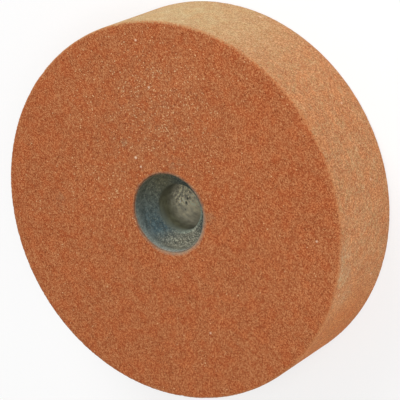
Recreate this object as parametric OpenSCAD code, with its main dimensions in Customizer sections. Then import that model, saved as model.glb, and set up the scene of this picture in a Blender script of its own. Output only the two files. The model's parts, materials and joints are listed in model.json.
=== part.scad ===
// Straight grinding wheel with a cast bush, lying on its back face.
// The spindle axis is +Z and the middle of the back face is the origin.
// All sizes are in millimetres.

/* [Wheel] */
// Outside diameter of the abrasive
wheel_d = 150; // [110:1:200]
// Width across the two faces
wheel_w = 39.5; // [25:0.5:63]
// Rounding worn on the two outer corners
corner_r = 0.8; // [0.3:0.1:2]
// Diameter of the moulded hole that the bush is cast in
hole_d = 31.5; // [29:0.1:40]
// Rounding on the two edges of the moulded hole
hole_edge_r = 0.6; // [0.2:0.1:1.2]

/* [Bush] */
// Bore for the spindle
bore_d = 19.05; // [12.7:0.05:21]
// Depth of the recess below the front face, at its wall
recess_depth = 7.5; // [4:0.1:12]
// Thickness of the skin that lines the wall of the recess
skin_t = 0.5; // [0.3:0.1:1]
// Fillet between the wall of the recess and its floor
floor_fillet_r = 2; // [0.6:0.1:3]
// Drop of the floor from its fillet to the bore
floor_fall = 0.5; // [0.2:0.1:2]
// Rounding on the two lips of the bore
lip_r = 0.8; // [0.3:0.1:1.5]
// Gap between the bush and the moulded hole, none where it is cast in place
seat_gap = 0; // [0:0.05:0.2]

/* [Hidden] */
$fn = 180;
arc_steps = 8;
wheel_r = wheel_d / 2;
hole_r = hole_d / 2;
bore_r = bore_d / 2;
bush_r = hole_r - seat_gap;
recess_r = bush_r - skin_t;
skin_tip_r = skin_t / 2;
// The bush starts and ends where the rounded edges of the moulded hole do
bush_back_z = hole_edge_r;
bush_front_z = wheel_w - hole_edge_r;
floor_z = wheel_w - recess_depth;
lip_z = floor_z - floor_fall;

// Points on an arc about a centre, from one angle to another
function arc(centre, r, from, to) =
    [for (i = [0 : arc_steps])
        let (a = from + (to - from) * i / arc_steps)
            centre + r * [cos(a), sin(a)]];

// Half section of the abrasive: a rectangle with four rounded corners
function wheel_section() = concat(
    arc([wheel_r - corner_r, corner_r], corner_r, -90, 0),
    arc([wheel_r - corner_r, wheel_w - corner_r], corner_r, 0, 90),
    arc([hole_r + hole_edge_r, wheel_w - hole_edge_r], hole_edge_r, 90, 180),
    arc([hole_r + hole_edge_r, hole_edge_r], hole_edge_r, 180, 270));

// Half section of the bush: a thick sleeve at the back, and in front of it the
// recess, whose wall is a thin skin and whose floor falls to the bore
function bush_section() = concat(
    arc([bore_r + lip_r, bush_back_z + lip_r], lip_r, 180, 270),
    [[bush_r, bush_back_z]],
    arc([bush_r - skin_tip_r, bush_front_z - skin_tip_r], skin_tip_r, 0, 180),
    arc([recess_r - floor_fillet_r, floor_z + floor_fillet_r], floor_fillet_r, 0, -90),
    arc([bore_r + lip_r, lip_z - lip_r], lip_r, 90, 180));

module abrasive_wheel() {
    color("sienna")
        rotate_extrude() polygon(wheel_section());
}

module cast_bush() {
    color("slategray")
        rotate_extrude() polygon(bush_section());
}

abrasive_wheel();
cast_bush();
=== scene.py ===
import json
import logging
import math
from dataclasses import dataclass, field
from enum import Enum

import bpy
import numpy as np
from mathutils import Matrix, Vector


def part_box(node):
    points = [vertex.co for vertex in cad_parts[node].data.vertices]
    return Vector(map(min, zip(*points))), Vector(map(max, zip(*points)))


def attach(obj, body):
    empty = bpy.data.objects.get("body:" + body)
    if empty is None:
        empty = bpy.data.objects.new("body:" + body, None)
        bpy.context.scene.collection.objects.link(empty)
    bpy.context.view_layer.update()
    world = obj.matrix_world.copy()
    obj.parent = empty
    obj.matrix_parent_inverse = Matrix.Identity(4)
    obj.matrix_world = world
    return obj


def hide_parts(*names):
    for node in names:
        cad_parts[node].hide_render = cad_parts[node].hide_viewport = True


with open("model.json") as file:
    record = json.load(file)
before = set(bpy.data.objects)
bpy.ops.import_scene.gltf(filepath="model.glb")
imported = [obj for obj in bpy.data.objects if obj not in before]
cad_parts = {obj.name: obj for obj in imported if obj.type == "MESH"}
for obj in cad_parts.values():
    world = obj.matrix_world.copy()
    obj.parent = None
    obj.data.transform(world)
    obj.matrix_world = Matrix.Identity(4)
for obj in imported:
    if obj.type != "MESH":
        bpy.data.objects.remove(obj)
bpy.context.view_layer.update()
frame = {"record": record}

# A straight grinding wheel that lies on its back face, with a grey cast bush in its hole.
# Lengths in the classes are millimetres, and a mesh is written in metres.

MM = 0.001
ROOT = "root"

log = logging.getLogger("grinding_wheel")
logging.basicConfig(level=logging.INFO, format="%(name)s: %(message)s")


class Node(Enum):
    """The part's two solids, by the names that the frame gives them."""

    WHEEL = "abrasive_wheel"
    BUSH = "cast_bush"


class Slot(Enum):
    """The record's material slots."""

    ABRASIVE = "bonded_abrasive"
    FILLER = "bush_filler"


def linear(hex_colour: str) -> tuple[float, float, float, float]:
    """Turns an sRGB hex colour to the linear values that a shader takes.

    Args:
        hex_colour: six hex digits after a hash sign.

    Returns:
        Linear red, green, blue and an alpha of 1.
    """
    parts = [int(hex_colour[i : i + 2], 16) / 255 for i in (1, 3, 5)]
    made = [c / 12.92 if c <= 0.04045 else ((c + 0.055) / 1.055) ** 2.4 for c in parts]
    return (made[0], made[1], made[2], 1.0)


def add_node(
    tree: bpy.types.NodeTree, kind: str, inputs: dict | None = None, **settings: object
) -> bpy.types.Node:
    """Adds a node, sets its properties, and fills or links its inputs.

    Args:
        tree: the node tree that takes it.
        kind: Blender's name for the node's type.
        inputs: input name or number to a value, or to the output socket that feeds it.
        settings: the node's own properties.

    Returns:
        The new node.
    """
    node = tree.nodes.new(kind)
    for name, value in settings.items():
        setattr(node, name, value)
    for key, value in (inputs or {}).items():
        if isinstance(value, bpy.types.NodeSocket):
            tree.links.new(value, node.inputs[key])
        else:
            node.inputs[key].default_value = value
    return node


def value_noise(rows: np.ndarray, around: np.ndarray, cell: float, seed: int) -> np.ndarray:
    """Smooth random values on a grid that closes on itself round the axis.

    Random values stand on a lattice of the given cell, and each point takes the blend of
    the four about it, weighted by 3t^2 - 2t^3 of its place in the cell.

    Args:
        rows: length along the section at each row, in mm.
        around: length round the axis at each column, in mm, with the closing length last.
        cell: lattice spacing in mm.
        seed: seed of the random values.

    Returns:
        Values from 0 to 1, one row for each of rows and one column for each column.
    """
    columns = max(3, round(around[-1] / cell))
    count = int(rows[-1] / cell) + 2
    lattice = np.random.default_rng(seed).random((count + 1, columns))
    u = rows / cell
    v = around[:-1] / around[-1] * columns
    i, j = u.astype(int), v.astype(int) % columns
    s, t = u - i, v - np.floor(v)
    s, t = s * s * (3 - 2 * s), t * t * (3 - 2 * t)
    following = (j + 1) % columns
    near = lattice[i[:, None], j] * (1 - t) + lattice[i[:, None], following] * t
    far = lattice[i[:, None] + 1, j] * (1 - t) + lattice[i[:, None] + 1, following] * t
    return near * (1 - s[:, None]) + far * s[:, None]


@dataclass
class Section:
    """Half section of a turned piece: a closed run of lines and arcs, counter-clockwise."""

    points: list[np.ndarray] = field(default_factory=list)

    def arc(self, centre: tuple[float, float], radius: float, start: float, end: float, steps: int) -> None:
        """Adds centre + radius (cos a, sin a) as a goes evenly from start to end.

        Args:
            centre: radius and height of the arc's centre, in mm.
            radius: radius of the arc in mm.
            start: first angle in degrees.
            end: last angle in degrees.
            steps: number of rows.
        """
        a = np.radians(np.linspace(start, end, steps))
        self.points.append(np.stack([centre[0] + radius * np.cos(a), centre[1] + radius * np.sin(a)], 1))

    def line(self, start: tuple[float, float], end: tuple[float, float], steps: int, gather: float) -> None:
        """Adds a straight run, both ends left out, with rows gathered towards its ends.

        The place along it is t + gather sin(2 pi t) / -(2 pi), so 0 spaces the rows evenly.

        Args:
            start: radius and height where it starts, in mm.
            end: radius and height where it ends, in mm.
            steps: number of rows.
            gather: share of the rows drawn towards the ends, 0 to 0.95.
        """
        t = np.linspace(0, 1, steps + 2)[1:-1]
        t = t - gather * np.sin(2 * math.pi * t) / (2 * math.pi)
        a, b = np.array(start), np.array(end)
        self.points.append(a + (b - a) * t[:, None])

    def rows(self) -> np.ndarray:
        """Radius and height of every row, in mm."""
        return np.concatenate(self.points)


@dataclass
class Turned:
    """A surface of two parameters: place along a closed half section, and angle."""

    section: np.ndarray
    columns: int

    def lengths(self) -> np.ndarray:
        """Length along the section at each row, in mm."""
        steps = np.hypot(*np.diff(self.section, axis=0).T)
        return np.concatenate([[0.0], np.cumsum(steps)])

    def around(self, radius: float) -> np.ndarray:
        """Length round the axis at each column and at the close, at that radius, in mm."""
        return np.linspace(0, 2 * math.pi * radius, self.columns + 1)

    def normals(self) -> np.ndarray:
        """Outward normal of each row: its tangent turned a quarter turn clockwise."""
        tangent = np.roll(self.section, -1, 0) - np.roll(self.section, 1, 0)
        tangent /= np.hypot(*tangent.T)[:, None]
        return np.stack([tangent[:, 1], -tangent[:, 0]], 1)

    def build(self, name: str, inward: np.ndarray, drop: np.ndarray | float = 0.0) -> bpy.types.Object:
        """Makes the mesh: each row's point, moved inward along its normal, turned round Z.

        Args:
            name: name of the object.
            inward: how far each point moves into the solid, in mm, rows by columns.
            drop: how far each point is lowered after that, in mm, rows by columns.

        Returns:
            The object, at the origin.
        """
        n = self.normals()
        radius = self.section[:, 0, None] - n[:, 0, None] * inward
        height = self.section[:, 1, None] - n[:, 1, None] * inward - drop
        angle = np.arange(self.columns) * 2 * math.pi / self.columns
        points = np.stack([radius * np.cos(angle), radius * np.sin(angle), height], 2)
        rows = len(self.section)
        i, j = np.meshgrid(np.arange(rows), np.arange(self.columns), indexing="ij")
        up, along = (i + 1) % rows, (j + 1) % self.columns
        quads = np.stack(
            [i * self.columns + j, i * self.columns + along, up * self.columns + along, up * self.columns + j], 2
        ).reshape(-1, 4)
        mesh = bpy.data.meshes.new(name)
        mesh.vertices.add(rows * self.columns)
        mesh.vertices.foreach_set("co", (points * MM).astype(np.float32).ravel())
        mesh.loops.add(quads.size)
        mesh.loops.foreach_set("vertex_index", quads.astype(np.int32).ravel())
        mesh.polygons.add(len(quads))
        mesh.polygons.foreach_set("loop_start", np.arange(0, quads.size, 4, dtype=np.int32))
        mesh.polygons.foreach_set("use_smooth", np.ones(len(quads), dtype=bool))
        mesh.update(calc_edges=True)
        mesh.validate()
        piece = bpy.data.objects.new(name, mesh)
        bpy.context.scene.collection.objects.link(piece)
        return piece


def place(piece: bpy.types.Object, node: Node, material: bpy.types.Material) -> None:
    """Dresses a piece and ties it to the solid that it stands for.

    Args:
        piece: the new object.
        node: the solid that it replaces.
        material: its finish.
    """
    piece.data.materials.append(material)
    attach(piece, ROOT)
    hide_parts(node.value)
    triangles = sum(len(p.vertices) - 2 for p in piece.data.polygons)
    log.info("%s: %d triangles, finish %s", piece.name, triangles, material.name)


@dataclass(frozen=True)
class Smudge:
    """A soft round mark: its middle and radius in mm, and how strong it is. Marks give stains, dust, pits, glints, and
    painted sheen and shade.
    """

    x: float
    y: float
    z: float
    radius: float
    strength: float


def marks(
    tree: bpy.types.NodeTree,
    point: bpy.types.NodeSocket,
    rough: bpy.types.NodeSocket | float,
    places: tuple[Smudge, ...],
) -> bpy.types.NodeSocket:
    """Joins soft round marks into one factor, broken up by a noise.

    Args:
        tree: the material's node tree.
        point: the point on the piece.
        rough: what the factor is multiplied by, such as a noise that breaks the edges.
        places: the marks.

    Returns:
        The factor's socket.
    """
    total: bpy.types.NodeSocket | float = 0.0
    for mark in places:
        middle = (mark.x * MM, mark.y * MM, mark.z * MM)
        away = add_node(tree, "ShaderNodeVectorMath", {0: point, 1: middle}, operation="DISTANCE")
        near = add_node(
            tree, "ShaderNodeMapRange",
            {"Value": away.outputs["Value"], "From Min": mark.radius * MM, "From Max": 0.0,
             "To Max": mark.strength},
            interpolation_type="SMOOTHSTEP",
        )
        total = add_node(
            tree, "ShaderNodeMath", {0: near.outputs["Result"], 1: total}, operation="MAXIMUM"
        ).outputs[0]
    return add_node(tree, "ShaderNodeMath", {0: total, 1: rough}, operation="MULTIPLY").outputs[0]


@dataclass(frozen=True)
class VitrifiedAbrasive:
    """Brown aluminium oxide grit in a fired clay bond, moulded, and trued on its rim.

    It gives the eye a matt terracotta speckled grain by grain, paler and dusty where a
    dresser has run round the rim. On the rim, sheen is painted towards +X and shade towards
    -X, and each grain's light and dark is partly painted shading of its relief.
    """

    # A 46 grit grain is about 0.35 mm
    grain_mm: float = 0.35
    fine_grain_mm: float = 0.22
    clump_mm: float = 0.66
    groove_mm: float = 0.6
    groove_run_mm: float = 3.0
    mottle_mm: float = 7.0
    patch_mm: float = 4.2
    cloud_mm: float = 26.0
    pale_share: float = 0.0015
    dusty_share: float = 0.035
    # How far each grain's light and dark swings on the rim, partly painted shading of its relief.
    relief_shading: float = 0.36
    pore: str = "#7D3715"
    bond: str = "#9F512A"
    body: str = "#AB5C33"
    grain: str = "#C88556"
    cool_tint: str = "#FCFFFF"
    red_tint: str = "#FFF3E9"
    pale_grain: str = "#DCB386"
    dust: str = "#E5A56F"
    # Pale khaki of the rim's dust patches, also used for the painted sheen on the rim towards +X.
    silt_and_sheen: str = "#CDB88A"
    # A deeper orange dust for the rim towards -X: painted shade.
    shaded_dust: str = "#E39350"
    fresh: str = "#BE7A4C"
    khaki: str = "#BDB08C"
    glint: str = "#F2D2B4"
    stain: str = "#8E8064"
    smear: str = "#66766C"
    pale_smear: str = "#A09C88"
    sheen: float = 0.08
    roughness: float = 0.9
    smudges: tuple[Smudge, ...] = (
        Smudge(38.0, -23.0, 39.5, 4.0, 0.35),
        Smudge(35.5, -2.5, 39.5, 3.5, 0.3),
        Smudge(16.0, -13.0, 39.5, 6.0, 0.3),
        Smudge(-9.0, -16.5, 39.5, 4.0, 0.3),
        Smudge(32.0, 3.5, 39.5, 3.5, 0.35),
        Smudge(36.0, -14.0, 39.5, 44.0, 0.1),
        Smudge(24.5, 44.0, 39.5, 6.0, 0.2),
    )
    dusted: tuple[Smudge, ...] = (Smudge(36.0, -14.0, 39.5, 44.0, 1.0), Smudge(18.0, 20.0, 39.5, 30.0, 0.5))
    # A pale bank on the rim towards +X, which faces the key light: painted sheen.
    sheen_banks: tuple[Smudge, ...] = (Smudge(68.0, -32.0, 22.0, 68.0, 0.9),)
    # The rim towards -X, turned from the key light: painted shade.
    rim_shade_side: tuple[Smudge, ...] = (Smudge(-70.5, -25.5, 20.0, 42.0, 1.3),)
    glints: tuple[Smudge, ...] = (
        Smudge(24.7, 1.5, 39.5, 0.85, 1.0),
        Smudge(63.6, -23.4, 39.5, 0.75, 0.9),
        Smudge(45.7, -19.0, 39.5, 0.7, 0.8),
        Smudge(20.7, 1.3, 39.5, 0.7, 0.8),
        Smudge(-48.4, 7.6, 39.5, 0.7, 0.75),
        Smudge(-33.8, -55.3, 39.5, 0.7, 0.7),
        Smudge(50.9, -55.1, 4.3, 1.1, 0.9),
        Smudge(7.5, -74.6, 11.8, 0.75, 0.7),
        Smudge(-22.7, -71.5, 12.6, 0.75, 0.7),
        Smudge(-55.1, -50.9, 9.8, 0.8, 0.7),
        Smudge(-55.6, -50.3, 35.2, 0.9, 0.6),
    )
    rubs: tuple[Smudge, ...] = (
        Smudge(-44.0, -60.7, 37.0, 8.0, 0.5),
        Smudge(-50.0, -56.0, 34.5, 8.0, 0.5),
        Smudge(-57.0, -48.7, 29.0, 7.0, 0.4),
        Smudge(-47.6, -57.9, 37.6, 2.2, 0.7),
        Smudge(-50.3, -55.6, 37.9, 2.2, 0.8),
    )

    def material(self, radius: float, width: float, hole: float, corner: float) -> bpy.types.Material:
        """Builds the finish.

        Args:
            radius: the wheel's outside radius in mm.
            width: the wheel's width in mm.
            hole: the radius of its moulded hole in mm.
            corner: how far in from its corners the fresh grain shows, in mm.

        Returns:
            The material.
        """
        made = bpy.data.materials.new("vitrified_abrasive")
        made.use_nodes = True
        tree = made.node_tree
        tree.nodes.clear()
        point = add_node(tree, "ShaderNodeTexCoord").outputs["Object"]
        axes = add_node(tree, "ShaderNodeSeparateXYZ", {0: point})
        flat = add_node(
            tree, "ShaderNodeVectorMath", {0: point, 1: (1.0, 1.0, 0.0)}, operation="MULTIPLY"
        ).outputs[0]
        away = add_node(tree, "ShaderNodeVectorMath", {0: flat}, operation="LENGTH").outputs["Value"]

        coarse = add_node(tree, "ShaderNodeTexVoronoi", {"Vector": point, "Scale": 1 / (self.grain_mm * MM)})
        fine = add_node(tree, "ShaderNodeTexVoronoi", {"Vector": point, "Scale": 1 / (self.fine_grain_mm * MM)})
        coarse_tone = add_node(tree, "ShaderNodeSeparateColor", {0: coarse.outputs["Color"]})

        # Most grains keep near the body's colour, and pores and pale grains are few.
        ramp = add_node(tree, "ShaderNodeValToRGB", {"Fac": coarse_tone.outputs["Red"]})
        stops = ((0.0, self.pore), (0.12, self.bond), (0.5, self.body), (0.9, self.grain))
        ramp.color_ramp.elements[0].color = linear(stops[0][1])
        ramp.color_ramp.elements[1].position = stops[-1][0]
        ramp.color_ramp.elements[1].color = linear(stops[-1][1])
        for position, colour in stops[1:-1]:
            ramp.color_ramp.elements.new(position).color = linear(colour)
        few = add_node(
            tree, "ShaderNodeMapRange",
            {"Value": marks(tree, point, 1.0, self.dusted), "To Min": 1 - self.pale_share,
             "To Max": 1 - self.dusty_share},
        ).outputs["Result"]
        speck = add_node(
            tree, "ShaderNodeMath", {0: coarse_tone.outputs["Green"], 1: few}, operation="GREATER_THAN"
        )
        colour = add_node(
            tree, "ShaderNodeMix",
            {"Factor": speck.outputs[0], "A": ramp.outputs["Color"], "B": linear(self.pale_grain)},
            data_type="RGBA",
        ).outputs["Result"]

        # Grains sit in clumps, which show on the dressed rim more than on the face.
        clump = add_node(tree, "ShaderNodeTexNoise", {"Vector": point, "Scale": 1 / (self.clump_mm * MM)})

        # The rim is what lies at the full radius, with a border that wanders by a clump.
        # Its grooves run round it, so they are short along the axis and long across it.
        wander = add_node(
            tree, "ShaderNodeMath", {0: clump.outputs["Fac"], 1: 2.4 * corner * MM, 2: away},
            operation="MULTIPLY_ADD",
        ).outputs[0]
        rim = add_node(
            tree, "ShaderNodeMapRange",
            {"Value": wander, "From Min": (radius + 0.1 * corner) * MM, "From Max": (radius + 1.3 * corner) * MM},
        ).outputs["Result"]
        stretch = (1 / (self.groove_run_mm * MM), 1 / (self.groove_run_mm * MM), 1 / (self.groove_mm * MM))
        run = add_node(tree, "ShaderNodeVectorMath", {0: point, 1: stretch}, operation="MULTIPLY").outputs[0]
        groove = add_node(tree, "ShaderNodeTexNoise", {"Vector": run, "Scale": 1.0, "Detail": 2.0})
        cloud = add_node(tree, "ShaderNodeTexNoise", {"Vector": point, "Scale": 1 / (self.cloud_mm * MM)})
        mottle = add_node(
            tree, "ShaderNodeTexNoise", {"Vector": point, "Scale": 1 / (self.mottle_mm * MM), "Detail": 3.0}
        )
        dusty = None
        for noise, low, high in ((groove, 0.0, 0.1), (mottle, 0.09, 0.28), (clump, -0.05, 0.38)):
            part = add_node(
                tree, "ShaderNodeMapRange",
                {"Value": noise.outputs["Fac"], "From Min": 0.32, "From Max": 0.68, "To Min": low, "To Max": high},
            ).outputs["Result"]
            dusty = part if dusty is None else add_node(
                tree, "ShaderNodeMath", {0: dusty, 1: part}, operation="ADD"
            ).outputs[0]
        dusty = add_node(tree, "ShaderNodeMath", {0: dusty, 1: rim}, operation="MULTIPLY").outputs[0]
        patch = add_node(
            tree, "ShaderNodeTexNoise", {"Vector": point, "Scale": 1 / (self.patch_mm * MM), "Detail": 2.0}
        )
        yellowed = add_node(
            tree, "ShaderNodeMapRange", {"Value": patch.outputs["Fac"], "From Min": 0.38, "From Max": 0.62}
        ).outputs["Result"]
        dust = add_node(
            tree, "ShaderNodeMix", {"Factor": yellowed, "A": linear(self.dust), "B": linear(self.silt_and_sheen)},
            data_type="RGBA",
        ).outputs["Result"]
        # Towards -X the rim's dust is painted a deeper orange, on the side turned from the key light: painted shade.
        dust = add_node(
            tree, "ShaderNodeMix",
            {"Factor": marks(tree, point, 1.0, self.rim_shade_side), "A": dust, "B": linear(self.shaded_dust)},
            data_type="RGBA",
        ).outputs["Result"]
        colour = add_node(
            tree, "ShaderNodeMix", {"Factor": dusty, "A": colour, "B": dust}, data_type="RGBA"
        ).outputs["Result"]

        # The rim towards +X, the side that faces the key light, is painted a pale khaki bank: painted sheen.
        sheen_spread = add_node(
            tree, "ShaderNodeMapRange",
            {"Value": mottle.outputs["Fac"], "From Min": 0.35, "From Max": 0.6, "To Min": 0.75},
        ).outputs["Result"]
        sheen_spread = add_node(tree, "ShaderNodeMath", {0: sheen_spread, 1: rim}, operation="MULTIPLY").outputs[0]
        colour = add_node(
            tree, "ShaderNodeMix",
            {"Factor": marks(tree, point, sheen_spread, self.sheen_banks), "A": colour, "B": linear(self.silt_and_sheen)},
            data_type="RGBA",
        ).outputs["Result"]

        # Dust covers the grain's colour, so each grain's light and dark is painted back on the rim: partly its own
        # tone, partly painted shading of its relief.
        tips = add_node(
            tree, "ShaderNodeMapRange",
            {"Value": coarse_tone.outputs["Blue"], "To Min": -self.relief_shading, "To Max": self.relief_shading},
        ).outputs["Result"]
        tips = add_node(tree, "ShaderNodeMath", {0: tips, 1: rim}, operation="MULTIPLY").outputs[0]
        # Green and blue swing further than red, so that a grain keeps its hue on the eye.
        tips = add_node(
            tree, "ShaderNodeVectorMath", {0: tips, 1: (0.75, 1.05, 1.5), 2: (1.0, 1.0, 1.0)},
            operation="MULTIPLY_ADD",
        ).outputs[0]
        colour = add_node(
            tree, "ShaderNodeVectorMath", {0: colour, 1: tips}, operation="MULTIPLY"
        ).outputs[0]

        # Fresh grain shows where the two outer corners have crumbled.
        middle = add_node(
            tree, "ShaderNodeMath", {0: axes.outputs["Z"], 1: width / 2 * MM}, operation="SUBTRACT"
        ).outputs[0]
        height = add_node(tree, "ShaderNodeMath", {0: middle}, operation="ABSOLUTE").outputs[0]
        high = add_node(
            tree, "ShaderNodeMapRange",
            {"Value": height, "From Min": (width / 2 - 1.5 * corner) * MM, "From Max": (width / 2 - 0.2 * corner) * MM},
        ).outputs["Result"]
        wide = add_node(
            tree, "ShaderNodeMapRange",
            {"Value": away, "From Min": (radius - 1.5 * corner) * MM, "From Max": (radius - 0.2 * corner) * MM},
        ).outputs["Result"]
        edge = add_node(tree, "ShaderNodeMath", {0: high, 1: wide}, operation="MULTIPLY").outputs[0]
        edge = add_node(
            tree, "ShaderNodeMath", {0: edge, 1: coarse_tone.outputs["Red"]}, operation="MULTIPLY"
        ).outputs[0]
        colour = add_node(
            tree, "ShaderNodeMix", {"Factor": edge, "A": colour, "B": linear(self.fresh)}, data_type="RGBA"
        ).outputs["Result"]

        broken = add_node(tree, "ShaderNodeTexNoise", {"Vector": point, "Scale": 1 / (1.6 * MM), "Detail": 3.0})
        soft = add_node(
            tree, "ShaderNodeMapRange", {"Value": broken.outputs["Fac"], "From Min": 0.35, "From Max": 0.6}
        ).outputs["Result"]
        worn_rim = add_node(tree, "ShaderNodeMath", {0: soft, 1: rim}, operation="MULTIPLY").outputs[0]
        kinds = (
            (self.stain, self.smudges, soft),
            (self.khaki, self.rubs, worn_rim),
            (self.glint, self.glints, 1.0),
        )
        for tint, places, part in kinds:
            factor = marks(tree, point, part, places)
            colour = add_node(
                tree, "ShaderNodeMix", {"Factor": factor, "A": colour, "B": linear(tint)}, data_type="RGBA"
            ).outputs["Result"]

        # The filler was smeared over the edge of the hole, paler towards -X.
        towards_minus_x = add_node(
            tree, "ShaderNodeMapRange", {"Value": axes.outputs["X"], "From Min": -4.0 * MM, "From Max": -12.0 * MM}
        ).outputs["Result"]
        smear = add_node(
            tree, "ShaderNodeMix",
            {"Factor": towards_minus_x, "A": linear(self.smear), "B": linear(self.pale_smear)}, data_type="RGBA",
        ).outputs["Result"]
        aside = add_node(
            tree, "ShaderNodeVectorMath", {0: flat, 1: (-0.3 * MM, -0.5 * MM, 0.0)}, operation="DISTANCE"
        ).outputs["Value"]
        ragged = add_node(
            tree, "ShaderNodeMath", {0: broken.outputs["Fac"], 1: 1.2 * MM, 2: aside}, operation="MULTIPLY_ADD"
        ).outputs[0]
        covered = add_node(
            tree, "ShaderNodeMapRange",
            {"Value": ragged, "From Min": (hole + 1.9) * MM, "From Max": (hole + 0.1) * MM, "To Max": 0.75},
        ).outputs["Result"]
        colour = add_node(
            tree, "ShaderNodeMix", {"Factor": covered, "A": colour, "B": smear}, data_type="RGBA"
        ).outputs["Result"]

        # The firing leaves slow clouds, redder and darker, barely seen.
        firing = add_node(
            tree, "ShaderNodeTexNoise", {"Vector": point, "Scale": 1 / (self.patch_mm * MM), "Detail": 0.6}
        )
        redder = add_node(
            tree, "ShaderNodeMapRange", {"Value": firing.outputs["Fac"], "From Min": 0.42, "From Max": 0.66}
        ).outputs["Result"]
        fired = add_node(
            tree, "ShaderNodeMix",
            {"Factor": redder, "A": linear(self.cool_tint), "B": linear(self.red_tint)}, data_type="RGBA",
        ).outputs["Result"]
        colour = add_node(
            tree, "ShaderNodeMix", {"Factor": 1.0, "A": colour, "B": fired},
            data_type="RGBA", blend_type="MULTIPLY",
        ).outputs["Result"]
        level = add_node(
            tree, "ShaderNodeMapRange",
            {"Value": cloud.outputs["Fac"], "From Min": 0.3, "From Max": 0.7, "To Min": 0.97, "To Max": 1.03},
        ).outputs["Result"]
        colour = add_node(
            tree, "ShaderNodeVectorMath", {0: colour, "Scale": level}, operation="SCALE"
        ).outputs[0]

        relief = add_node(
            tree, "ShaderNodeMath", {0: coarse_tone.outputs["Blue"], 1: fine.outputs["Distance"]},
            operation="SUBTRACT",
        )
        bump = add_node(
            tree, "ShaderNodeBump", {"Height": relief.outputs[0], "Strength": 0.6, "Distance": 0.1 * MM}
        )
        surface = add_node(
            tree, "ShaderNodeBsdfPrincipled",
            {"Base Color": colour, "Roughness": self.roughness, "IOR": 1.5, "Normal": bump.outputs[0],
             "Specular IOR Level": 0.2, "Sheen Weight": self.sheen, "Sheen Roughness": 0.5,
             "Sheen Tint": linear(self.pale_grain)},
        )
        add_node(tree, "ShaderNodeOutputMaterial", {"Surface": surface.outputs[0]})
        return made


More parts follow.
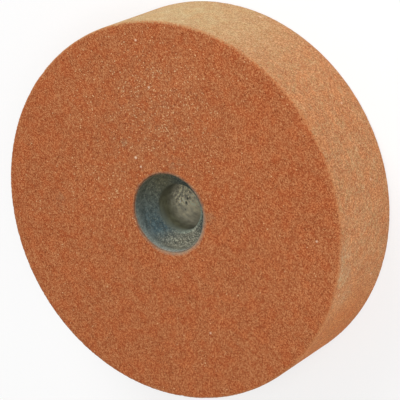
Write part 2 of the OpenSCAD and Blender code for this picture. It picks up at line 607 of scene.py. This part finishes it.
@dataclass(frozen=True)
class BushFiller:
    """Grey filler poured into the hole round a mandrel, left as it set.

    It gives the eye a dull teal grey, streaked up the recess's wall and gritty on its
    floor, and a smoother khaki grey inside the bore where the mandrel stood. Light and
    shade are painted on it too: the recess paler towards -X and darker towards +X and +Y,
    a pale lip, and a bore painted paler the deeper it goes.
    """

    streak_mm: float = 0.9
    streak_run_mm: float = 4.0
    grit_mm: float = 0.5
    wall: str = "#747D79"
    # Pale band up the wall where it faces the key light: painted light.
    lit_wall: str = "#9CA39B"
    floor: str = "#354446"
    # Cooler teal of the recess towards +Y: painted shade.
    shade_teal: str = "#4E666D"
    shade: str = "#5A5740"
    # Paler colour of the recess towards -X, where the key light reaches: painted light.
    lit_paler: str = "#737060"
    # Dark of the floor strip towards -Y, which lies in shadow: painted shadow.
    shadowed_strip: str = "#2F3833"
    bore: str = "#717057"
    # Pale of the deep bore: painted light.
    backlit_bore: str = "#ECE5CB"
    dark: str = "#38423E"
    pit: str = "#262B26"
    # Pale grit specks: partly their own tone, partly painted highlight.
    speck: str = "#D6D5BC"
    # The lip colours paint light and shade on the rounded lip: pale where it catches the light, darker on its flatter
    # part.
    lip: str = "#AAB5A0"
    lip_shade: str = "#4E5753"
    lip_steep_lit: str = "#757D71"
    thin: str = "#7E5A42"
    pits: tuple[Smudge, ...] = (
        Smudge(1.9, 9.3, 11.2, 1.25, 1.0),
        Smudge(0.6, 9.5, 12.8, 1.2, 1.0),
        Smudge(-1.6, 9.4, 15.5, 0.8, 0.6),
        Smudge(3.6, 8.8, 14.0, 0.9, 0.6),
    )

    def material(self, bore: float, lip: float, floor_z: float) -> bpy.types.Material:
        """Builds the finish.

        Args:
            bore: the bore's radius in mm.
            lip: the radius of the bore's rounded lip in mm.
            floor_z: height of the recess's floor in mm.

        Returns:
            The material.
        """
        made = bpy.data.materials.new("cast_bush_filler")
        made.use_nodes = True
        tree = made.node_tree
        tree.nodes.clear()
        point = add_node(tree, "ShaderNodeTexCoord").outputs["Object"]
        axes = add_node(tree, "ShaderNodeSeparateXYZ", {0: point})
        flat = add_node(
            tree, "ShaderNodeVectorMath", {0: point, 1: (1.0, 1.0, 0.0)}, operation="MULTIPLY"
        ).outputs[0]
        away = add_node(tree, "ShaderNodeVectorMath", {0: flat}, operation="LENGTH").outputs["Value"]

        stretch = (1 / (self.streak_mm * MM), 1 / (self.streak_mm * MM), 1 / (self.streak_run_mm * MM))
        run = add_node(tree, "ShaderNodeVectorMath", {0: point, 1: stretch}, operation="MULTIPLY").outputs[0]
        streak = add_node(tree, "ShaderNodeTexNoise", {"Vector": run, "Scale": 1.0, "Detail": 3.0})
        grit = add_node(tree, "ShaderNodeTexNoise", {"Vector": point, "Scale": 1 / (self.grit_mm * MM), "Detail": 2.0})

        # The recess is painted paler and gritty towards -X, where the key light reaches it: painted light on a grit
        # that is partly real. Towards +X, where its own wall shades it from the key light, it is painted a warm dark
        # grey: painted shade.
        lit_gritty = add_node(
            tree, "ShaderNodeMapRange",
            {"Value": axes.outputs["X"], "From Min": -4.5 * MM, "From Max": -11.5 * MM},
        ).outputs["Result"]
        shaded_plus_x = add_node(
            tree, "ShaderNodeMapRange",
            {"Value": axes.outputs["X"], "From Min": -2.0 * MM, "From Max": 12.0 * MM},
        ).outputs["Result"]

        # Above the floor it is the wall, and at the bore's radius it is the bore.
        high = add_node(
            tree, "ShaderNodeMapRange",
            {"Value": axes.outputs["Z"], "From Min": (floor_z + 0.3) * MM, "From Max": (floor_z + 2.0) * MM},
        ).outputs["Result"]
        colour = add_node(
            tree, "ShaderNodeMix", {"Factor": high, "A": linear(self.floor), "B": linear(self.wall)},
            data_type="RGBA",
        ).outputs["Result"]
        colour = add_node(
            tree, "ShaderNodeMix", {"Factor": shaded_plus_x, "A": colour, "B": linear(self.shade)}, data_type="RGBA"
        ).outputs["Result"]
        # Towards +Y the recess is painted a cooler teal, the tint of its shade: painted shade.
        shade_cooled = add_node(
            tree, "ShaderNodeMapRange",
            {"Value": axes.outputs["Y"], "From Min": 2.0 * MM, "From Max": 15.0 * MM, "To Max": 0.42},
        ).outputs["Result"]
        colour = add_node(
            tree, "ShaderNodeMix", {"Factor": shade_cooled, "A": colour, "B": linear(self.shade_teal)}, data_type="RGBA"
        ).outputs["Result"]
        colour = add_node(
            tree, "ShaderNodeMix", {"Factor": lit_gritty, "A": colour, "B": linear(self.lit_paler)}, data_type="RGBA"
        ).outputs["Result"]
        patchy = add_node(tree, "ShaderNodeTexNoise", {"Vector": point, "Scale": 1 / (1.3 * MM), "Detail": 4.0})
        uneven = add_node(
            tree, "ShaderNodeMapRange",
            {"Value": patchy.outputs["Fac"], "From Min": 0.34, "From Max": 0.66, "To Min": 0.62, "To Max": 1.38},
        ).outputs["Result"]
        colour = add_node(
            tree, "ShaderNodeVectorMath", {0: colour, "Scale": uneven}, operation="SCALE"
        ).outputs[0]
        # The wall is painted paler near the mouth, most towards -X where it faces the key light: painted light.
        lit_paler = add_node(
            tree, "ShaderNodeMapRange",
            {"Value": axes.outputs["Z"], "From Min": (floor_z + 2.1) * MM, "From Max": (floor_z + 5.2) * MM},
        ).outputs["Result"]
        towards_minus_x = add_node(
            tree, "ShaderNodeMapRange",
            {"Value": axes.outputs["X"], "From Min": 13.0 * MM, "From Max": 5.0 * MM, "To Max": 0.62},
        ).outputs["Result"]
        lower = add_node(
            tree, "ShaderNodeMapRange",
            {"Value": axes.outputs["X"], "From Min": 0.0, "From Max": -11.0 * MM, "To Max": 0.38},
        ).outputs["Result"]
        towards_minus_x = add_node(tree, "ShaderNodeMath", {0: towards_minus_x, 1: lower}, operation="ADD").outputs[0]
        lit_paler = add_node(tree, "ShaderNodeMath", {0: lit_paler, 1: towards_minus_x}, operation="MULTIPLY").outputs[0]
        lit_paler = add_node(tree, "ShaderNodeMath", {0: lit_paler, 1: lit_paler}, operation="MULTIPLY").outputs[0]
        colour = add_node(
            tree, "ShaderNodeMix", {"Factor": lit_paler, "A": colour, "B": linear(self.lit_wall)}, data_type="RGBA"
        ).outputs["Result"]
        # The filler rolled over the lip of the bore before it set, further towards -X.
        inner = add_node(
            tree, "ShaderNodeMapRange",
            {"Value": away, "From Min": (bore + 1.2 * lip) * MM, "From Max": (bore + 0.5 * lip) * MM},
        ).outputs["Result"]
        rolled = add_node(
            tree, "ShaderNodeMath", {0: lit_gritty, 1: 2.2 * MM, 2: axes.outputs["Z"]}, operation="MULTIPLY_ADD"
        ).outputs[0]
        rolled = add_node(
            tree, "ShaderNodeMath", {0: patchy.outputs["Fac"], 1: 2.0 * MM, 2: rolled}, operation="MULTIPLY_ADD"
        ).outputs[0]
        below = add_node(
            tree, "ShaderNodeMapRange",
            {"Value": rolled, "From Min": (floor_z + 0.3) * MM, "From Max": (floor_z - 1.2) * MM},
        ).outputs["Result"]
        inner = add_node(tree, "ShaderNodeMath", {0: inner, 1: below}, operation="MULTIPLY").outputs[0]
        # Beside the bore towards -Y and -X the lip is painted pale: painted highlight on its rounding.
        near_lip = add_node(
            tree, "ShaderNodeMapRange",
            {"Value": away, "From Min": (bore + 1.3 * lip) * MM, "From Max": (bore + 0.6 * lip) * MM,
             "To Max": 0.5},
        ).outputs["Result"]
        facing = add_node(
            tree, "ShaderNodeMapRange",
            {"Value": axes.outputs["Y"], "From Min": -1.0 * MM, "From Max": -5.5 * MM},
        ).outputs["Result"]
        # The floor strip beside the bore towards -Y lies in shadow and is painted dark: painted shadow.
        low_part = add_node(tree, "ShaderNodeMapRange", {"Value": high, "To Min": 0.8, "To Max": 0.0})
        unlit = add_node(
            tree, "ShaderNodeMath", {0: facing, 1: low_part.outputs["Result"]}, operation="MULTIPLY"
        ).outputs[0]
        colour = add_node(
            tree, "ShaderNodeMix", {"Factor": unlit, "A": colour, "B": linear(self.shadowed_strip)}, data_type="RGBA"
        ).outputs["Result"]
        low_lip = add_node(
            tree, "ShaderNodeMapRange", {"Value": axes.outputs["X"], "From Min": 0.5 * MM, "From Max": -4.5 * MM}
        ).outputs["Result"]
        for part in (facing, low_lip):
            near_lip = add_node(
                tree, "ShaderNodeMath", {0: near_lip, 1: part}, operation="MULTIPLY"
            ).outputs[0]
        colour = add_node(
            tree, "ShaderNodeMix", {"Factor": near_lip, "A": colour, "B": linear(self.lip)}, data_type="RGBA"
        ).outputs["Result"]
        # The bore is painted paler the deeper it goes: painted light, as from its open far end.
        backlit_depth = add_node(
            tree, "ShaderNodeMapRange",
            {"Value": axes.outputs["Z"], "From Min": (floor_z - 5.5) * MM, "From Max": (floor_z - 17.0) * MM},
            interpolation_type="SMOOTHSTEP",
        ).outputs["Result"]
        inside = add_node(
            tree, "ShaderNodeMix", {"Factor": backlit_depth, "A": linear(self.bore), "B": linear(self.backlit_bore)},
            data_type="RGBA",
        ).outputs["Result"]
        # The bore is painted darker towards -X and towards +X: painted shade.
        shaded_low_x = add_node(
            tree, "ShaderNodeMapRange",
            {"Value": axes.outputs["X"], "From Min": -2.5 * MM, "From Max": -10.5 * MM, "To Min": 1.0,
             "To Max": 0.34},
        )
        shaded_high_x = add_node(
            tree, "ShaderNodeMapRange",
            {"Value": axes.outputs["X"], "From Min": 3.0 * MM, "From Max": 8.0 * MM, "To Min": 1.0,
             "To Max": 0.7},
        )
        # Air left small hollows in the deep part towards +X.
        aside = add_node(
            tree, "ShaderNodeMapRange", {"Value": axes.outputs["X"], "From Min": -1.5 * MM, "From Max": 2.5 * MM}
        ).outputs["Result"]
        airy = add_node(
            tree, "ShaderNodeMapRange",
            {"Value": axes.outputs["Z"], "From Min": (floor_z - 6.0) * MM, "From Max": (floor_z - 15.0) * MM},
        ).outputs["Result"]
        airy = add_node(tree, "ShaderNodeMath", {0: aside, 1: airy}, operation="MULTIPLY").outputs[0]
        pocked = add_node(
            tree, "ShaderNodeMath", {0: patchy.outputs["Fac"], 1: 1.5, 2: grit.outputs["Fac"]},
            operation="MULTIPLY_ADD",
        ).outputs[0]
        pocked = add_node(
            tree, "ShaderNodeMapRange",
            {"Value": pocked, "From Min": 0.95, "From Max": 1.55, "To Min": -0.7, "To Max": 0.7},
        ).outputs["Result"]
        pocked = add_node(
            tree, "ShaderNodeMath", {0: pocked, 1: airy, 2: 1.0}, operation="MULTIPLY_ADD"
        ).outputs[0]
        stains = add_node(tree, "ShaderNodeTexNoise", {"Vector": point, "Scale": 1 / (2.2 * MM), "Detail": 2.0})
        stained_bore = add_node(
            tree, "ShaderNodeMapRange",
            {"Value": stains.outputs["Fac"], "From Min": 0.34, "From Max": 0.66, "To Min": 0.74, "To Max": 1.26},
        ).outputs["Result"]
        # Paler again near the back end towards -X: painted light.
        backlit_end = add_node(
            tree, "ShaderNodeMapRange",
            {"Value": axes.outputs["Z"], "From Min": (floor_z - 18.0) * MM, "From Max": (floor_z - 26.0) * MM,
             "To Max": 0.4},
        ).outputs["Result"]
        low_side = add_node(
            tree, "ShaderNodeMapRange", {"Value": axes.outputs["X"], "From Min": 0.0, "From Max": -4.0 * MM}
        ).outputs["Result"]
        backlit_end = add_node(
            tree, "ShaderNodeMath", {0: backlit_end, 1: low_side, 2: 1.0}, operation="MULTIPLY_ADD"
        ).outputs[0]
        shaded = stained_bore
        for part in (shaded_low_x.outputs["Result"], shaded_high_x.outputs["Result"], pocked, backlit_end):
            shaded = add_node(
                tree, "ShaderNodeMath", {0: shaded, 1: part}, operation="MULTIPLY"
            ).outputs[0]
        inside = add_node(
            tree, "ShaderNodeVectorMath", {0: inside, "Scale": shaded}, operation="SCALE"
        ).outputs[0]
        inside = add_node(
            tree, "ShaderNodeMix",
            {"Factor": marks(tree, point, 1.0, self.pits), "A": inside, "B": linear(self.pit)}, data_type="RGBA",
        ).outputs["Result"]
        colour = add_node(
            tree, "ShaderNodeMix", {"Factor": inner, "A": colour, "B": inside}, data_type="RGBA"
        ).outputs["Result"]

        # The rounded lip is painted pale where it catches the light, palest towards -X, and darker on its flatter part:
        # painted highlight and painted shade.
        beside = add_node(
            tree, "ShaderNodeMapRange",
            {"Value": away, "From Min": (bore + 1.2 * lip) * MM, "From Max": (bore + 0.8 * lip) * MM},
        ).outputs["Result"]
        above = add_node(
            tree, "ShaderNodeMapRange",
            {"Value": axes.outputs["Z"], "From Min": (floor_z - 5.0) * MM, "From Max": (floor_z - 2.2) * MM,
             "To Max": 0.85},
        ).outputs["Result"]
        reached = add_node(
            tree, "ShaderNodeMapRange", {"Value": axes.outputs["X"], "From Min": 5.5 * MM, "From Max": 1.0 * MM}
        ).outputs["Result"]
        far_side = add_node(
            tree, "ShaderNodeMapRange", {"Value": axes.outputs["Y"], "From Min": -3.0 * MM, "From Max": 1.0 * MM}
        ).outputs["Result"]
        band = beside
        for part in (above, reached, far_side):
            band = add_node(tree, "ShaderNodeMath", {0: band, 1: part}, operation="MULTIPLY").outputs[0]
        turned = add_node(
            tree, "ShaderNodeMapRange",
            {"Value": axes.outputs["X"], "From Min": -6.5 * MM, "From Max": -10.5 * MM, "To Max": 0.7},
        ).outputs["Result"]
        steep = add_node(
            tree, "ShaderNodeMapRange",
            {"Value": axes.outputs["Z"], "From Min": (floor_z - 0.6) * MM, "From Max": (floor_z - 1.6) * MM},
        ).outputs["Result"]
        lip_tone = add_node(
            tree, "ShaderNodeMix",
            {"Factor": steep, "A": linear(self.lip_shade), "B": linear(self.lip_steep_lit)}, data_type="RGBA",
        ).outputs["Result"]
        lip_tone = add_node(
            tree, "ShaderNodeMix", {"Factor": turned, "A": lip_tone, "B": linear(self.lip)}, data_type="RGBA"
        ).outputs["Result"]
        colour = add_node(
            tree, "ShaderNodeMix", {"Factor": band, "A": colour, "B": lip_tone}, data_type="RGBA"
        ).outputs["Result"]

        worn = add_node(
            tree, "ShaderNodeMapRange",
            {"Value": streak.outputs["Fac"], "From Min": 0.5, "From Max": 0.72, "To Max": 0.5},
        ).outputs["Result"]
        rough_part = add_node(tree, "ShaderNodeMath", {0: 1.0, 1: inner}, operation="SUBTRACT").outputs[0]
        worn = add_node(tree, "ShaderNodeMath", {0: worn, 1: rough_part}, operation="MULTIPLY").outputs[0]
        colour = add_node(
            tree, "ShaderNodeMix", {"Factor": worn, "A": colour, "B": linear(self.dark)}, data_type="RGBA"
        ).outputs["Result"]
        # Pale specks and dark hollows on the grit, strongest towards -X and near the mouth where the key light grazes
        # it: partly the grit's own tone, partly painted highlights and painted shade.
        bright = add_node(
            tree, "ShaderNodeMapRange",
            {"Value": grit.outputs["Fac"], "From Min": 0.52, "From Max": 0.68, "To Max": 0.5},
        ).outputs["Result"]
        bright = add_node(tree, "ShaderNodeMath", {0: bright, 1: rough_part}, operation="MULTIPLY").outputs[0]
        mouth = add_node(
            tree, "ShaderNodeMapRange",
            {"Value": axes.outputs["Z"], "From Min": (floor_z + 5.0) * MM, "From Max": (floor_z + 6.6) * MM,
             "To Max": 0.5},
        ).outputs["Result"]
        some = add_node(tree, "ShaderNodeMath", {0: lit_gritty, 1: mouth}, operation="MAXIMUM").outputs[0]
        some = add_node(tree, "ShaderNodeMapRange", {"Value": some, "To Min": 0.3, "To Max": 1.0})
        hollow = add_node(
            tree, "ShaderNodeMapRange",
            {"Value": grit.outputs["Fac"], "From Min": 0.5, "From Max": 0.36, "To Max": 0.55},
        ).outputs["Result"]
        hollow = add_node(tree, "ShaderNodeMath", {0: hollow, 1: rough_part}, operation="MULTIPLY").outputs[0]
        hollow = add_node(
            tree, "ShaderNodeMath", {0: hollow, 1: some.outputs["Result"]}, operation="MULTIPLY"
        ).outputs[0]
        colour = add_node(
            tree, "ShaderNodeMix", {"Factor": hollow, "A": colour, "B": linear(self.pit)}, data_type="RGBA"
        ).outputs["Result"]
        bright = add_node(
            tree, "ShaderNodeMath", {0: bright, 1: some.outputs["Result"]}, operation="MULTIPLY"
        ).outputs[0]
        colour = add_node(
            tree, "ShaderNodeMix", {"Factor": bright, "A": colour, "B": linear(self.speck)}, data_type="RGBA"
        ).outputs["Result"]

        # At the mouth the filler is so thin that the wheel shows through.
        thin = add_node(
            tree, "ShaderNodeMapRange",
            {"Value": axes.outputs["Z"], "From Min": (floor_z + 6.0) * MM, "From Max": (floor_z + 6.8) * MM,
             "To Max": 0.6},
        ).outputs["Result"]
        colour = add_node(
            tree, "ShaderNodeMix", {"Factor": thin, "A": colour, "B": linear(self.thin)}, data_type="RGBA"
        ).outputs["Result"]

        bump = add_node(
            tree, "ShaderNodeBump", {"Height": grit.outputs["Fac"], "Strength": 0.8, "Distance": 0.4 * MM}
        )
        surface = add_node(
            tree, "ShaderNodeBsdfPrincipled",
            {"Base Color": colour, "Roughness": 0.8, "IOR": 1.5, "Normal": bump.outputs[0],
             "Specular IOR Level": 0.4},
        )
        add_node(tree, "ShaderNodeOutputMaterial", {"Surface": surface.outputs[0]})
        return made


@dataclass
class AbrasiveWheel:
    """The fired abrasive: outside sizes from the frame, and its rounded, crumbled edges."""

    radius: float
    width: float
    hole_radius: float
    corner: float = 0.8
    hole_edge: float = 0.6
    columns: int = 1120
    crumble_cell: float = 0.5
    chip_cell: float = 2.4
    crumble_depth: float = 0.2
    chip_depth: float = 0.3
    back_share: float = 0.35
    finish: VitrifiedAbrasive = VitrifiedAbrasive()

    def section(self) -> np.ndarray:
        """The half section: a rectangle with four rounded corners, rows gathered at them."""
        r, w, h, c, e = self.radius, self.width, self.hole_radius, self.corner, self.hole_edge
        made = Section()
        made.arc((r - c, c), c, -90, 0, 8)
        made.line((r, c), (r, w - c), 10, 0.9)
        made.arc((r - c, w - c), c, 0, 90, 9)
        made.line((r - c, w), (h + e, w), 12, 0.9)
        made.arc((h + e, w - e), e, 90, 180, 7)
        made.line((h, w - e), (h, e), 4, 0.0)
        made.arc((h + e, e), e, 180, 270, 6)
        made.line((h + e, 0.0), (r - c, 0.0), 12, 0.9)
        return made.rows()

    def crumbling(self, turned: Turned) -> np.ndarray:
        """How far each point is worn in: grain-sized steps and a few chips, at the corners.

        Two noises, one of a grain's size and one of a chip's, the chip's cut off below a level,
        are faded out within a corner's width of the nearest outer corner or hole edge.

        Args:
            turned: the surface.

        Returns:
            Depths in mm, rows by columns.
        """
        r, z = turned.section.T
        outer = np.hypot(r - self.radius, np.minimum(z, self.width - z))
        inner = np.hypot(r - self.hole_radius, np.minimum(z, self.width - z))
        close = np.clip(1.6 - outer / self.corner, 0, 1) + 0.6 * np.clip(1.6 - inner / self.hole_edge, 0, 1)
        lengths, around = turned.lengths(), turned.around(self.radius)
        grains = value_noise(lengths, around, self.crumble_cell, 11)
        chips = np.clip(value_noise(lengths, around, self.chip_cell, 23) - 0.7, 0, 1) / 0.3
        close = close * np.where(z < self.width / 2, self.back_share, 1.0)
        return close[:, None] * (self.crumble_depth * grains + self.chip_depth * chips)

    def build(self) -> bpy.types.Object:
        """Makes the wheel and dresses it."""
        turned = Turned(self.section(), self.columns)
        piece = turned.build("vitrified_wheel", self.crumbling(turned))
        finish = self.finish.material(self.radius, self.width, self.hole_radius, self.corner)
        place(piece, Node.WHEEL, finish)
        return piece


@dataclass
class CastBush:
    """The grey filler in the hole: a sleeve, and in front of it the skin of the recess."""

    radius: float
    back_z: float
    front_z: float
    face_z: float
    bore: float
    recess_depth: float = 7.5
    skin: float = 0.5
    fillet: float = 2.0
    fall: float = 0.5
    lip: float = 0.8
    columns: int = 480
    grit_cell: float = 0.7
    run_cell: float = 2.6
    ragged_cell: float = 3.5
    ragged_reach: float = 3.0
    ragged_drop: float = 0.55
    finish: BushFiller = BushFiller()

    def floor_z(self) -> float:
        """Height of the recess's floor at its fillet, in mm."""
        return self.face_z - self.recess_depth

    def section(self) -> np.ndarray:
        """The half section, counter-clockwise from the back lip of the bore."""
        inner = self.radius - self.skin
        tip = self.skin / 2
        lip_z = self.floor_z() - self.fall
        mouth = self.bore + self.lip
        made = Section()
        made.arc((mouth, self.back_z + self.lip), self.lip, 180, 270, 6)
        made.line((mouth, self.back_z), (self.radius, self.back_z), 6, 0.0)
        made.line((self.radius, self.back_z), (self.radius, self.front_z - tip), 6, 0.0)
        made.arc((self.radius - tip, self.front_z - tip), tip, 0, 180, 7)
        made.line((inner, self.front_z - tip), (inner, self.floor_z() + self.fillet), 14, 0.0)
        made.arc((inner - self.fillet, self.floor_z() + self.fillet), self.fillet, 0, -90, 10)
        made.line((inner - self.fillet, self.floor_z()), (mouth, lip_z), 12, 0.0)
        made.arc((mouth, lip_z - self.lip), self.lip, 90, 180, 9)
        made.line((self.bore, lip_z - self.lip), (self.bore, self.back_z + self.lip), 24, 0.0)
        return made.rows()

    def roughness(self, turned: Turned) -> np.ndarray:
        """How far each point stands back: grit on the recess, small pits in the bore.

        The recess takes a fine and a coarse noise. The bore takes only what a noise leaves
        above a high level, and the outer wall, which the wheel hides, takes none.

        Args:
            turned: the surface.

        Returns:
            Depths in mm, rows by columns.
        """
        r, z = turned.section.T
        lengths, around = turned.lengths(), turned.around(self.radius)
        fine = value_noise(lengths, around, self.grit_cell, 5)
        coarse = value_noise(lengths, around, self.run_cell, 7)
        recess = (z > self.floor_z() - self.fall - 0.1) & (r < self.radius - 0.8 * self.skin)
        inside = (r < self.bore + 0.05) & (z > self.back_z + 2 * self.lip) & ~recess
        pits = np.clip(fine - 0.86, 0, 1) / 0.14
        wall = r > self.radius - self.skin - 0.05
        depth = np.where(wall, 0.16, 0.55)[:, None]
        return recess[:, None] * depth * (0.5 * fine + 0.5 * coarse) + inside[:, None] * 0.3 * pits

    def ragged_mouth(self, turned: Turned) -> np.ndarray:
        """How far the skin's upper end falls short of the face, fading out down the wall.

        Args:
            turned: the surface.

        Returns:
            Drops in mm, rows by columns.
        """
        z = turned.section[:, 1]
        share = np.clip((z - (self.front_z - self.ragged_reach)) / self.ragged_reach, 0, 1)
        around = turned.around(self.radius)
        level = np.zeros(1)
        short = 0.65 * value_noise(level, around, self.ragged_cell, 31) + 0.35 * value_noise(level, around, 0.9, 37)
        return share[:, None] * self.ragged_drop * short

    def build(self) -> bpy.types.Object:
        """Makes the bush and dresses it."""
        turned = Turned(self.section(), self.columns)
        piece = turned.build("poured_bush", self.roughness(turned), self.ragged_mouth(turned))
        place(piece, Node.BUSH, self.finish.material(self.bore, self.lip, self.floor_z()))
        return piece


@dataclass
class Studio:
    """A white floor, soft lamps and the camera."""

    radius: float
    face_z: float
    # The camera as the photograph has it, worked out from the wheel's outline
    elevation: float = 53.86
    roll: float = -116.85
    distance: float = 773.2
    aim_x: float = -0.9
    aim_y: float = -16.57
    lens: float = 184.3
    sensor: float = 36.0
    floor_size: float = 6000.0
    floor_white: float = 0.62
    backdrop: float = 1.07
    sky: float = 0.36

    def floor(self) -> None:
        """The floor: a matt white that a camera ray also meets as plain white in part."""
        half = self.floor_size / 2 * MM
        mesh = bpy.data.meshes.new("studio_floor")
        mesh.from_pydata([(-half, -half, 0), (half, -half, 0), (half, half, 0), (-half, half, 0)], [], [(0, 1, 2, 3)])
        sheet = bpy.data.objects.new("studio_floor", mesh)
        bpy.context.scene.collection.objects.link(sheet)
        made = bpy.data.materials.new("floor_paper")
        made.use_nodes = True
        tree = made.node_tree
        tree.nodes.clear()
        seen = self.seen(tree)
        share = add_node(tree, "ShaderNodeMath", {0: seen, 1: self.floor_white}, operation="MULTIPLY")
        matt = add_node(tree, "ShaderNodeBsdfDiffuse", {"Color": linear("#F4F4F4")})
        plain = add_node(tree, "ShaderNodeEmission", {"Color": linear("#FFFFFF"), "Strength": self.backdrop})
        both = add_node(tree, "ShaderNodeMixShader", {0: share.outputs[0], 1: matt.outputs[0], 2: plain.outputs[0]})
        add_node(tree, "ShaderNodeOutputMaterial", {"Surface": both.outputs[0]})
        mesh.materials.append(made)

    def seen(self, tree: bpy.types.NodeTree) -> bpy.types.NodeSocket:
        """1 for a camera, glossy or transmission ray and 0 for any other.

        Args:
            tree: the node tree that asks.

        Returns:
            The socket.
        """
        ray = add_node(tree, "ShaderNodeLightPath")
        direct = add_node(
            tree, "ShaderNodeMath",
            {0: ray.outputs["Is Camera Ray"], 1: ray.outputs["Is Glossy Ray"]}, operation="MAXIMUM",
        )
        return add_node(
            tree, "ShaderNodeMath",
            {0: direct.outputs[0], 1: ray.outputs["Is Transmission Ray"]}, operation="MAXIMUM",
        ).outputs[0]

    def world(self) -> None:
        """A white backdrop, and a dimmer light from all round."""
        made = bpy.data.worlds.new("studio")
        bpy.context.scene.world = made
        made.use_nodes = True
        tree = made.node_tree
        tree.nodes.clear()
        strength = add_node(
            tree, "ShaderNodeMapRange", {"Value": self.seen(tree), "To Min": self.sky, "To Max": 1.0}
        )
        light = add_node(
            tree, "ShaderNodeBackground", {"Color": linear("#FFFFFF"), "Strength": strength.outputs["Result"]}
        )
        add_node(tree, "ShaderNodeOutputWorld", {"Surface": light.outputs[0]})

    def lamp(self, name: str, place_mm: tuple[float, float, float], size: float, watts: float) -> None:
        """A square soft box that faces the wheel.

        Args:
            name: the lamp's name.
            place_mm: where it stands, in mm.
            size: its side in mm.
            watts: its power.
        """
        light = bpy.data.lights.new(name, "AREA")
        light.size = size * MM
        light.energy = watts
        lamp = bpy.data.objects.new(name, light)
        lamp.location = Vector(place_mm) * MM
        lamp.rotation_euler = (-lamp.location).to_track_quat("-Z", "Y").to_euler()
        bpy.context.scene.collection.objects.link(lamp)

    def camera(self) -> None:
        """The camera: it looks down along +Y at its elevation, and is rolled about its view."""
        lift, turn = math.radians(self.elevation), math.radians(self.roll)
        ahead = Vector((0, math.cos(lift), -math.sin(lift)))
        level = Vector((1, 0, 0))
        upward = level.cross(ahead)
        right = level * math.cos(turn) + upward * math.sin(turn)
        over = upward * math.cos(turn) - level * math.sin(turn)
        aim = Vector((self.aim_x, self.aim_y, self.face_z)) * MM
        eye = aim - ahead * self.distance * MM
        data = bpy.data.cameras.new("photo_camera")
        data.lens = self.lens
        data.sensor_width = self.sensor
        shot = bpy.data.objects.new("photo_camera", data)
        turned = Matrix((right, over, -ahead)).transposed().to_4x4()
        shot.matrix_world = Matrix.Translation(eye) @ turned
        bpy.context.scene.collection.objects.link(shot)
        bpy.context.scene.camera = shot

    def build(self) -> None:
        """Sets the stage. The key light comes from +X, which is up in the photograph."""
        self.camera()
        self.floor()
        self.world()
        self.lamp("key", (900.0, -250.0, 700.0), 600.0, 7.0)
        self.lamp("fill", (-60.0, -600.0, 1050.0), 500.0, 4.8)
        self.lamp("side", (-800.0, -800.0, 350.0), 700.0, 2.9)
        bpy.context.scene.view_settings.view_transform = "Standard"


def main() -> None:
    """Builds the studio, the wheel and its bush, in that order."""
    low, high = (np.array(corner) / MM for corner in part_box(Node.WHEEL.value))
    bush_low, bush_high = (np.array(corner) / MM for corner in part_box(Node.BUSH.value))
    radius, face = round(float(high[0]), 2), round(float(high[2]), 2)
    bush_radius = round(float(bush_high[0]), 2)
    bore = next(m for m in frame["record"]["mounts"] if m["name"] == "bore")["dims"]["r_mm"]
    Studio(radius, face).build()
    AbrasiveWheel(radius, face, bush_radius).build()
    CastBush(bush_radius, round(float(bush_low[2]), 2), round(float(bush_high[2]), 2), face, bore).build()


if __name__ == "__main__":
    main()
